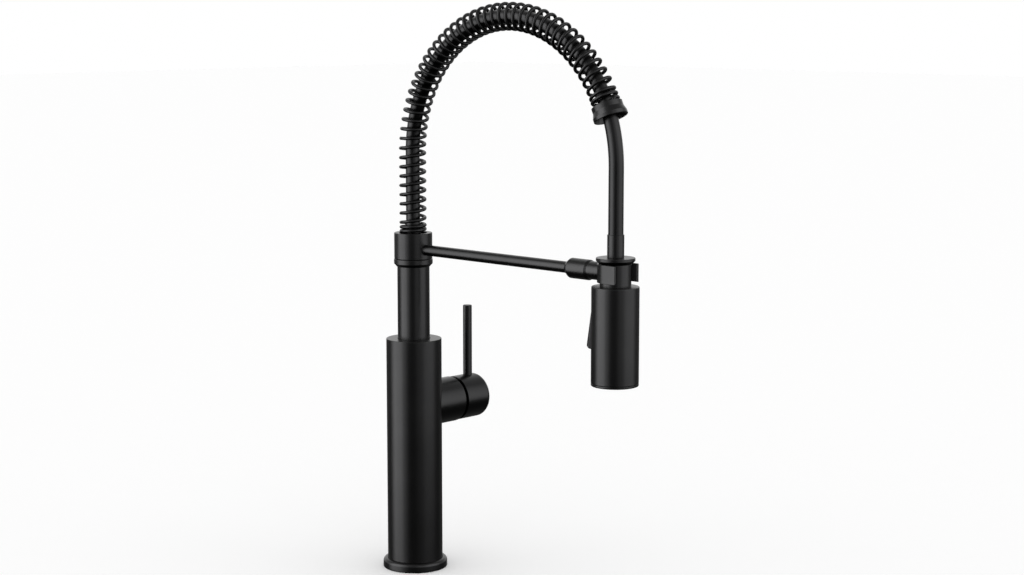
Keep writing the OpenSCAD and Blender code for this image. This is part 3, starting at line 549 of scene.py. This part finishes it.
# %% Clip and liner
clip_low, clip_high = low("dock_clip")[2], high("dock_clip")[2]
liner_low, liner_high = low("clip_liner")[2], high("clip_liner")[2]
shoulder_r = radius("shoulder_ring")
liner_wall, liner_short = 0.6, 0.4
liner_in = shoulder_r + free
liner_out = liner_in + liner_wall
tip_x = high("dock_clip")[0] - head_x
u_bar("bent_clip", liner_out, clip_r, clip_low, clip_high, tip_x, 0.3, "satin_black", "dock_clip")
u_bar(
    "bent_liner",
    liner_in,
    liner_out - 0.02,
    liner_low,
    liner_high,
    tip_x - liner_short,
    0.15,
    "black_plastic",
    "clip_liner",
)

# %% [markdown]
# ## Arch
# Spring and hose share one centre line: straight up from the collar, then round a half circle
# whose diameter is the reach. A place on it is a length s from the collar's top. Everything else
# is built on three directions at s: along the line, outward from the arch's centre, and sideways,
# which is +Y.

# %% The line that the hose and the spring follow
hose_r = radius("hose_arch", 1)
arch_r = head_x / 2
arch_z = high("hose_arch")[2] - hose_r - arch_r
rise = arch_z - collar_high


def arch_at(s):
    """Point, direction along and direction outward at the lengths s.
    On the bend the angle is a = (s - rise) / r, outward is (-cos a, 0, sin a), and the point is r
    times outward from the arch's centre."""
    x, z = np.array((1, 0, 0)), np.array((0, 0, 1))
    a = np.maximum(0, (s - rise) / arch_r)[..., None]
    straight = np.minimum(0, s - rise)[..., None]
    along = np.sin(a) * x + np.cos(a) * z
    outward = -np.cos(a) * x + np.sin(a) * z
    point = (arch_r, 0, arch_z) + arch_r * outward + straight * z
    return point, along, outward


def arch_matrix(s):
    """Matrix that carries a shape drawn along Z to the place s, with its Z along the line."""
    point, along, outward = arch_at(np.array(s))
    side = np.cross(along, -outward)
    turn = Matrix(np.column_stack([-outward, side, along]).tolist()).to_4x4()
    return Matrix.Translation([float(x) * mm for x in point]) @ turn


def tube(centres, across, over, r, sides):
    """Rows of a round tube: centre + r (cos t across + sin t over)."""
    t = np.linspace(0, 2 * np.pi, sides, endpoint=False)[None, :, None]
    return centres[:, None] + r * (np.cos(t) * across[:, None] + np.sin(t) * over[:, None])


# %% [markdown]
# ## Spring
# The spring is one length of round wire: two close turns, forty-six open ones, two close turns.
# The wire's centre goes round the line once per turn while s moves on, and the wire's own section
# needs only the outward direction and the cross of that with the wire's run. Each end is bent
# parallel to the line and stands on its seat.

# %% Wind the spring
wire_r, coil_r, wire_sides = 1.5, 10.73, 14
open_turns, close_turns = 46, 2
turns = open_turns + 2 * close_turns
bend_r = 0.85 * 2 * wire_r
cup_angle = 155.5
cup_s = rise + arch_r * np.radians(cup_angle)
cup_floor = 3.4
first_s = high("spring_seat")[2] - collar_high + 2 * wire_r + bend_r
last_s = cup_s + cup_floor - 2 * wire_r - bend_r
near_pitch = 2 * wire_r + 0.5
far_pitch = near_pitch + 0.35


def helix(t):
    """Wire's centre, outward direction and direction round the coil after t turns."""
    knots = [0, close_turns, turns - close_turns, turns]
    places = [first_s, first_s + close_turns * near_pitch, last_s - close_turns * far_pitch, last_s]
    point, along, outward = arch_at(np.interp(t, knots, places))
    c, s = np.cos(2 * np.pi * t)[:, None], np.sin(2 * np.pi * t)[:, None]
    away = c * outward - s * (0, 1, 0)
    round_it = -s * outward - c * (0, 1, 0)
    return point + coil_r * away, away, round_it, along


def wire_end(t, way):
    """The last of the wire: a quarter bend from the helix until it runs along the line."""
    centre, away, round_it, along = helix(np.array([float(t)]))
    a = np.linspace(0, np.pi / 2, 7)[1:, None]
    bend = centre + bend_r * way * (np.sin(a) * round_it + (1 - np.cos(a)) * along)
    run = way * (np.cos(a) * round_it + np.sin(a) * along)
    tip = bend[-1:] + 2 * wire_r * way * along
    line = np.concatenate([bend, tip])
    return line, np.repeat(away, len(line), 0), np.concatenate([run, run[-1:]])


steps_per_turn = 40
t = np.linspace(0, turns, turns * steps_per_turn + 1)
centres, away, round_it, _ = helix(t)
runs = np.gradient(centres, axis=0)
start, start_away, start_run = wire_end(0, -1)
finish, finish_away, finish_run = wire_end(turns, 1)
centres = np.concatenate([start[::-1], centres, finish])
away = np.concatenate([start_away[::-1], away, finish_away])
runs = np.concatenate([-start_run[::-1], runs, finish_run])
over = np.cross(runs, away)
over /= np.linalg.norm(over, axis=1)[:, None]
wire = tube(centres, away, over, wire_r, wire_sides)
caps = [np.repeat(centres[end][None, None], wire_sides, 1) for end in (0, -1)]
wire = np.concatenate([caps[0], wire, caps[1]])
wound = mesh_from_grids("wound_spring", [wire * mm], close_rows=False)
dress("wound_spring", wound, "spout", "spring_black", "spring")
print("the spring has", turns, "turns of", 2 * wire_r, "mm wire")

# %% Spring's end cup
cup_rim, cup_lip, cup_len, guide_top = 13.1, 14.5, 12.1, 7.4
cup_bore, guide_r = seat_r - 0.1, hose_r + 2.1
lathe(
    "turned_end_cup",
    [
        (cup_bore, 0, 0.15),
        (cup_rim, 0, 0.35),
        (cup_rim, cup_len - 7.5, 2.0),
        (cup_lip, cup_len - 3.2, 1.0),
        (cup_lip, cup_len, 0.55),
        (cup_lip - 1.5, cup_len, 0.4),
        (cup_lip - 3.2, guide_top, 0),
        (guide_r, guide_top, 0),
        (guide_r, cup_floor, 0),
        (cup_bore, cup_floor, 0),
    ],
    "spout",
    "satin_black",
    "spring_end_cap",
    matrix=arch_matrix(cup_s),
    segments=128,
)

# %% [markdown]
# ## Hose
# The hose is made in two lengths. The long one stays with the spout. The short one hangs from the
# cup to the head. It has to bend when the head is taken out of its clip, but here it is laid once,
# at rest, and rides on no body.


# %% Lay the hose
def hose(name, line, body, *parts):
    """A tube along (centres, across, over): out along its skin and back along its bore."""
    skin, bore = (tube(*line, r, 56) for r in (hose_r, 4.25))
    grid = np.concatenate([skin, bore[::-1]])
    return dress(name, mesh_from_grids(name, [grid * mm]), body, "hose_black", *parts)


below_cup = 5
split_s = cup_s + arch_r * np.radians(below_cup)
foot_s = low("hose_arch")[2] - collar_high
s = np.append(np.linspace(foot_s, rise, 24)[:-1], np.linspace(rise, split_s, 150))
centres, along, outward = arch_at(s)
hose("long_hose", (centres, outward, np.cross(along, outward)), "spout", "hose_arch")

drop_foot = low("hose_drop")[2]
end_s = rise + arch_r * np.pi
s = np.linspace(split_s, end_s, 24)
centres, along, outward = arch_at(s)
drop = np.linspace(arch_z, drop_foot, 60)[1:]
centres = np.concatenate([centres, np.stack([0 * drop + head_x, 0 * drop, drop], -1)])
across = np.concatenate([outward, np.tile(outward[-1], (len(drop), 1))])
over = np.tile((0.0, 1.0, 0.0), (len(centres), 1))
short_hose = hose("short_hose", (centres, across, over), None, "hose_drop")
bend_top, bend_foot = arch_z + 20, high("hose_sleeve")[2] + 2
bend_top * mm
bend_foot * mm
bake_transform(short_hose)

# %% [markdown]
# ## Hose end and spray head
# The sleeve is crimped on the hose and carries the flange that rests on the clip. Under the
# flange the neck has a wide sleeve that fills the clip. The head's shell hangs from it as a plain
# can with a narrow ring at its foot. All of it is turned about the head's own axis.

# %% Sleeve, flange and neck
sleeve_r = radius("hose_sleeve")
sleeve_low, sleeve_high = low("hose_sleeve")[2], high("hose_sleeve")[2]
on_hose, on_head = hose_r + 0.05, axis_at(head_x, 0, 0)
lathe(
    "turned_sleeve",
    [
        (on_hose, sleeve_low, 0),
        (sleeve_r, sleeve_low, 0.15),
        (sleeve_r, sleeve_high, 0.4),
        (on_hose, sleeve_high, 0.15),
    ],
    "hose_end",
    "satin_black",
    "hose_sleeve",
    matrix=on_head,
    segments=96,
)
flange_low, flange_high = low("dock_flange")[2], high("dock_flange")[2]
flange_r, stem_r = radius("dock_flange"), 6.05
lathe(
    "turned_dock_flange",
    [
        (stem_r, flange_low, 0),
        (flange_r - 2.5, flange_low, 0.3),
        (flange_r, flange_low + 2.4, 0.6),
        (flange_r, flange_high, 0.5),
        (stem_r, flange_high, 0),
    ],
    "hose_end",
    "satin_black",
    "dock_flange",
    matrix=on_head,
    segments=128,
)
neck_low, neck_high = low("head_neck")[2], high("head_neck")[2]
neck_r = radius("head_neck")
head_top, head_r = high("head_shell")[2], radius("head_shell")
shoulder_top = high("shoulder_ring")[2]
neck_bore, wide_bore, neck_ledge = 6.06, 7.6, neck_high - 11.6
lathe(
    "turned_neck",
    [
        (wide_bore, neck_low, 0),
        (neck_r, neck_low, 0),
        (neck_r, head_top, 0),
        (shoulder_r, head_top, 0.1),
        (shoulder_r, shoulder_top, 0.4),
        (neck_r, shoulder_top, 0),
        (neck_r, neck_high, 0.1),
        (neck_bore, neck_high, 0.2),
        (neck_bore, neck_ledge, 0),
        (wide_bore, neck_ledge, 0),
    ],
    "head",
    "satin_black",
    "head_neck",
    "shoulder_ring",
    matrix=on_head,
    segments=96,
)


# %% [markdown]
# ## Shell, window and rocker
# The rocker that changes the spray stands in a window of the shell. Window and rocker are the
# same kind of shape, a rounded plate seen from the side of the head, so one function makes both:
# nested outlines that grow from the middle of the front, turn the edge, and close again at the
# back. The rocker also has a finger behind it, which pushes the spool in the head.


# %% A rounded plate on the head's side
def plate(half_wide, half_high, corner, edge, front, back, z_mid):
    """Closed plate facing -X. Its outline is scaled down by rings towards the middle, and the
    points are at x = front(y, z). Round the edge a ring at the angle t is edge * (1 - cos t)
    smaller, and edge * (1 - sin t) behind the front. The back is flat, at x = back."""

    def ring(less):
        return rounded_box(half_wide - less, half_high - less, corner - less)

    rows = [(ring(edge) * share, 0.0) for share in np.linspace(0, 1, 9)[:-1]]
    for t in np.linspace(np.pi / 2, 0, 7):
        rows.append((ring(edge * (1 - np.cos(t))), edge * (1 - np.sin(t))))
    grid = []
    for outline, behind in rows:
        y, z = outline[:, 0], outline[:, 1] + z_mid
        grid.append(np.stack([front(y, z) + behind, y, z], -1))
    for share in (1, 0):
        y, z = (ring(0) * share).T
        grid.append(np.stack([0 * y + back, y, z + z_mid], -1))
    return np.array(grid)


# %% Shell with its window
shell_low = low("head_shell")[2]
shell_wall, shell_lid = 2.0, 3.0
shell_outline = rounded(
    [
        (head_r - shell_wall, shell_low, 0),
        (head_r, shell_low, 0.25),
        (head_r, head_top, 0.7),
        (neck_r + 0.05, head_top, 0),
        (neck_r + 0.05, head_top - shell_lid, 0),
        (head_r - shell_wall, head_top - shell_lid, 0),
    ]
)
shell = mesh_from_grids("turned_head_shell", [turned(shell_outline * mm, on_head)])
pin_place = middle("rocker_pin") - (head_x, 0, 0)
rocker_mid, pin_out = pin_place[2], np.hypot(*pin_place[:2])
facing = on_head @ Matrix.Rotation(np.arctan2(-pin_place[1], -pin_place[0]), 4, "Z")
half_w, half_h, round_corner = 7.5, radius("rocker", 2), 1.3


def outside(y, z):
    """A flat front that stands well clear of the shell."""
    return 0 * y - head_r - 5


window = plate(
    half_w + free, half_h + free, round_corner, 0.01, outside, 6 - head_r, rocker_mid
)
shell = cut(shell, mesh_from_grids("window", [carry(facing, window * mm)], close_rows=False))
dress("turned_head_shell", shell, "head", "satin_black", "head_shell")

# %% Rocker
lip, end_r = 4.2, np.hypot(head_r - shell_wall - pin_out, half_h)
lean = lip / (2 * half_h)


def rocker_front(y, z):
    """Leans out of the shell's curve, evenly from flush at the top, and is round about the pin at
    the ends. With u and v as the two distances out from the pin, the blend is
    (u ** -p + v ** -p) ** (-1 / p), which follows the smaller of the two."""
    p = 12.0
    leaning = np.sqrt((head_r - 0.05) ** 2 - y**2) + lean * (rocker_mid + half_h - z) - pin_out
    round_end = np.sqrt(np.maximum(end_r**2 - (z - rocker_mid) ** 2, 0.01))
    return -pin_out - (leaning**-p + round_end**-p) ** (-1 / p)


rocker = plate(half_w, half_h, round_corner, 0.7, rocker_front, 2 - pin_out, rocker_mid)
across, over = rounded_box(1.5, 1.0, 0.3).T
finger_x = np.array([-pin_out, -pin_out, -3.0, -3.0])[:, None] + 0 * across
shrink = np.array([0, 1, 1, 0])[:, None]
finger = np.stack([finger_x, shrink * across, shrink * over + rocker_mid], -1)
pads = [carry(facing, part * mm) for part in (rocker, finger)]
pad = mesh_from_grids("moulded_rocker", pads, close_rows=False)
dress("moulded_rocker", pad, "rocker_body", "satin_black", "rocker")

# %% [markdown]
# ## Spray face
# Seen from below, the head's foot ring frames a black plate with a ring of soft nozzles round the
# aerator. The nozzles are rubber so that scale can be rubbed off, and each is a small domed cone
# with a hole. Plate and aerator are plain discs, so they keep the parts' own shapes and only get
# a finish.

# %% Foot ring and nozzles
foot_low, foot_high = low("trim_ring")[2], high("trim_ring")[2]
on_plate = radius("spray_plate") + 0.1
lathe(
    "turned_foot_ring",
    [
        (on_plate, foot_low, 0.3),
        (head_r, foot_low, 0.9),
        (head_r, foot_high, 0.3),
        (on_plate, foot_high, 0),
    ],
    "head",
    "satin_black",
    "trim_ring",
    matrix=on_head,
)
nozzle_ring, nozzle_count = 13.0, 24
nozzle_r, nozzle_hole = 1.2, 0.5
nozzle_low, nozzle_high = low("spray_nozzles")[2], high("spray_nozzles")[2]
nozzle = rounded(
    [
        (nozzle_hole, nozzle_low, 0.15),
        (nozzle_r - 0.15, nozzle_low, 0.5),
        (nozzle_r, nozzle_low + 1.6, 0),
        (nozzle_r, nozzle_high, 0),
        (nozzle_hole, nozzle_high, 0),
    ],
    steps=4,
)
nozzles = []
for a in np.arange(nozzle_count) * 2 * np.pi / nozzle_count:
    place = axis_at(head_x + nozzle_ring * np.cos(a), nozzle_ring * np.sin(a), 0)
    nozzles.append(turned(nozzle * mm, place, 20))
nozzles = mesh_from_grids("soft_nozzles", nozzles)
dress("soft_nozzles", nozzles, "head", "seal_rubber", "spray_nozzles")

# %% [markdown]
# ## Mixer
# The hub is a tube that meets the body's round side. Its near edge is a saddle, and the saddle
# has a plain formula: at the angle t round the hub the metal starts where the body's circle is,
# at sqrt(R * R - (r cos t) ** 2) from the column's axis. The handle's cap is a turned cup that
# stands a few millimetres off the hub, so that it can tilt, and a narrower skirt behind its rim
# keeps that seam dark.

# %% Hub with a saddle edge
hub_r, hub_end = radius("hub_sleeve"), high("hub_lip")[1]
lip_wall = 0.65
mouth_r, mouth_y = hub_r - lip_wall, low("hub_lip")[1]
step_y, step_r, step_wide = hub_end - 9.8, 14.6, 1.2


def hub_grid(corners, segments=192):
    """Turns (radius, distance from the column's axis) about the mixer's axis.
    A corner at distance 0 is moved out to the body's round side."""
    outline = rounded(corners, 5)
    t = np.linspace(0, 2 * np.pi, segments, endpoint=False)
    r, y = outline[:, :1], outline[:, 1:]
    saddle = np.sqrt((body_r + 0.03) ** 2 - (r * np.cos(t)) ** 2)
    return np.stack([r * np.cos(t), np.where(y > 0, y, saddle), hub_z + r * np.sin(t)], -1)


hub = hub_grid(
    [
        (bore_r, 0, 0),
        (hub_r, 0, 0),
        (hub_r, hub_end, 0.5),
        (mouth_r, hub_end, 0.1),
        (mouth_r, mouth_y, 0.3),
        (bore_r, mouth_y, 0),
        (bore_r, step_y + step_wide, 0),
        (step_r, step_y + step_wide, 0),
        (step_r, step_y, 0),
        (bore_r, step_y, 0),
    ]
)
hub = mesh_from_grids("turned_hub", [hub * mm])
dress("turned_hub", hub, "column", "satin_black", "hub_sleeve", "hub_lip")

# %% Handle cap and lever
cap_start, cap_end, cap_r = low("handle_cap")[1], high("handle_cap")[1], radius("handle_cap")
skirt_r, skirt_wall, skirt_foot = cap_r - 3.0, 1.2, cap_start - 2.5
skirt_in, skirt_end = skirt_r - skirt_wall, cap_start + skirt_wall
cavity_r, cavity_end = cap_r - 2.4, cap_start + 10.6
lathe(
    "turned_handle_cap",
    [
        (0, cap_end, 0),
        (cap_r, cap_end, 5.0),
        (cap_r, cap_start, 0.6),
        (skirt_r, cap_start, 0),
        (skirt_r, skirt_foot, 0.2),
        (skirt_in, skirt_foot, 0),
        (skirt_in, skirt_end, 0),
        (cavity_r, skirt_end, 0),
        (cavity_r, cavity_end, 0.5),
        (0, cavity_end, 0),
    ],
    "handle",
    "satin_black",
    "handle_cap",
    matrix=axis_at(0, 0, hub_z, "Y"),
)
lever_x, lever_y, _ = middle("lever_rod")
lever_r, lever_foot, lever_tip = radius("lever_rod"), low("lever_rod")[2], high("lever_rod")[2]
lathe(
    "turned_lever",
    [(0, lever_tip, 0), (lever_r, lever_tip, 0.8), (lever_r, lever_foot, 0.2), (0, lever_foot, 0)],
    "handle",
    "satin_black",
    "lever_rod",
    matrix=axis_at(lever_x, lever_y, 0),
    segments=64,
)

# %% [markdown]
# ## Threads under the deck
# A thread is a height field on a cylinder: the radius goes down and up once per pitch, and the
# ridge moves on by one pitch in each turn. So r = crest - depth * |2 frac(z / pitch - t / (2 pi))
# - 1|.


# %% Threaded shank and jack screws
def thread_rows(z_from, z_to, crest, depth, pitch, columns, rows_per_pitch=8):
    """Radii, heights and angles of a thread, rows by columns. Its depth fades out at both ends."""
    z = np.arange(z_from, z_to, pitch / rows_per_pitch)[:, None]
    t = np.linspace(0, 2 * np.pi, columns, endpoint=False)
    saw = np.abs(2 * ((z / pitch - t / (2 * np.pi)) % 1) - 1)
    fade = np.clip((z - z_from) / pitch, 0, 1) * np.clip((z_to - z) / pitch, 0, 1)
    return crest - depth * saw * fade, z + 0 * t, t


def threaded(z_from, z_to, crest, depth, pitch, ends, matrix, columns=96):
    """A thread between plain rings: ends holds those before and after, as (radius, height)."""
    r, z, t = thread_rows(z_from, z_to, crest, depth, pitch, columns)
    before, after = (np.array(rings, float) for rings in ends)
    r = np.concatenate([before[:, :1] + 0 * t, r, after[:, :1] + 0 * t])
    z = np.concatenate([before[:, 1:] + 0 * t, z, after[:, 1:] + 0 * t])
    return carry(matrix, np.stack([r * np.cos(t), r * np.sin(t), z], -1) * mm)


shank_low, shank_high = low("mounting_shank")[2], high("mounting_shank")[2]
shank_r, shank_bore, deck = radius("mounting_shank"), 13.0, -20.0
crest, depth = shank_r - 0.25, 0.8
rings = (
    [(shank_bore, shank_high), (shank_bore, shank_low), (crest - depth, shank_low)],
    [(crest, deck), (shank_r, deck), (shank_r, 0), (crest, 0), (crest, shank_high)],
)
shank = threaded(shank_low + 0.8, deck - 0.2, crest, depth, 1.5, rings, up)
dress("cut_shank", mesh_from_grids("cut_shank", [shank]), "column", "brass", "mounting_shank")
jack_low, jack_high = low("jack_screws")[2], high("jack_screws")[2]
jack_r = 2.5
jack_x = high("jack_screws")[0] - jack_r
jack_rings = (
    [(0, jack_low), (jack_r - 0.5, jack_low)],
    [(jack_r - 0.6, jack_high), (0, jack_high)],
)
jacks = []
for x in (-jack_x, jack_x):
    place = axis_at(x, 0, 0)
    jacks.append(
        threaded(jack_low + 0.4, jack_high - 0.6, jack_r, 0.35, 0.8, jack_rings, place, 32)
    )
jacks = mesh_from_grids("cut_jack_screws", jacks, close_rows=False)
dress("cut_jack_screws", jacks, "column", "steel", "jack_screws")

# %% [markdown]
# ## Studio
# A black thing on white shows only what it reflects. Tall soft boxes stand left and right of the
# camera, so each cylinder carries a broad light band on one side and a weaker one on the other,
# with dark between them. Each box is a wide dim lamp with a narrower one inside it, which makes
# it bright in its middle and soft at its edges. The lamps show in the gloss alone: the white
# world lights the floor and everything that is matt. The world is dark below the horizon and the
# floor is left out of the reflections, because a mirror ray from an upright cylinder goes a
# little downwards, and a white deck would fill the dark between the bands. The floor is the deck
# that the faucet is clamped to, and it takes the faucet's shadow.


# %% Floor and world
floor_size = 12
floor_mesh = bpy.data.meshes.new("floor")
corners = [(-1, -1, 0), (1, -1, 0), (1, 1, 0), (-1, 1, 0)]
floor_mesh.from_pydata([[floor_size * c for c in corner] for corner in corners], [], [(0, 1, 2, 3)])
floor = bpy.data.objects.new("floor", floor_mesh)
bpy.context.collection.objects.link(floor)
floor.visible_glossy = False
floor_finish = bpy.data.materials.new("deck")
floor_finish.use_nodes = True
floor_shader = floor_finish.node_tree.nodes["Principled BSDF"].inputs
floor_white = 0.985
floor_shader["Base Color"].default_value = (floor_white, floor_white, floor_white, 1)
floor_shader["Roughness"].default_value = 1.0
floor_shader["Specular IOR Level"].default_value = 0.0
floor_mesh.materials.append(floor_finish)

scene = bpy.context.scene
world = bpy.data.worlds.new("studio")
world.use_nodes = True
sky = Flow(world.node_tree).node("ShaderNodeTexCoord", out="Generated")
height = sky.node("ShaderNodeSeparateXYZ", {}, {"Vector": sky}, out="Z")
dusk = {"Value": height, "From Min": -0.10, "From Max": -0.045}
above = height.node("ShaderNodeMapRange", {}, dusk)
below_glow = 0.10
background = world.node_tree.nodes["Background"].inputs
background["Color"].default_value = (1, 1, 1, 1)
plug(below_glow + (1 - below_glow) * above, background["Strength"])
scene.world = world


# %% Lamps
view_right = np.array([0.718, 0.696, 0])
view_near = np.array([0.696, -0.718, 0])
middle_x = head_x * mm / 2
lamp_away, high_edge = 2.4, 2.9


def soft_box(name, first_angle, last_angle, low_edge, glow):
    """An upright area lamp that fills the directions between two angles right of the camera's, in
    degrees. It looks glow times as bright as white, so its power is pi * area * glow."""
    away = np.radians((first_angle + last_angle) / 2)
    toward = np.sin(away) * view_right + np.cos(away) * view_near
    half_angle = np.radians(last_angle - first_angle) / 2
    width, height = 2 * lamp_away * np.tan(half_angle), high_edge - low_edge
    lamp = bpy.data.lights.new(name, "AREA")
    lamp.shape = "RECTANGLE"
    lamp.size, lamp.size_y = width, height
    lamp.energy = np.pi * width * height * glow
    thing = bpy.data.objects.new(name, lamp)
    bpy.context.collection.objects.link(thing)
    thing.location = Vector(lamp_away * toward) + Vector((middle_x, 0, (low_edge + high_edge) / 2))
    thing.rotation_euler = Vector(-toward).to_track_quat("-Z", "Y").to_euler()
    thing.visible_diffuse = False
    thing.visible_camera = False
    print(name, round(width, 2), "by", round(height, 2), "m,", round(lamp.energy), "W")


soft_box("left box", -104, -30, -0.7, 2.6)
soft_box("left box's middle", -92, -50, -0.7, 5.0)
soft_box("left box's edge", -104, -84, -0.7, 1.6)
soft_box("right box", 11, 106, -0.4, 1.5)
soft_box("right box's middle", 42, 94, -0.4, 2.3)

# %% Camera
camera = bpy.data.cameras.new("camera")
camera.lens = 70.78
camera.sensor_width = 36
camera_object = bpy.data.objects.new("camera", camera)
camera_object.location = (1.3147, -1.2300, 0.5085)
camera_object.rotation_euler = np.radians((82.05, 0, 44.08))
bpy.context.collection.objects.link(camera_object)
scene.camera = camera_object
scene.view_settings.view_transform = "Standard"
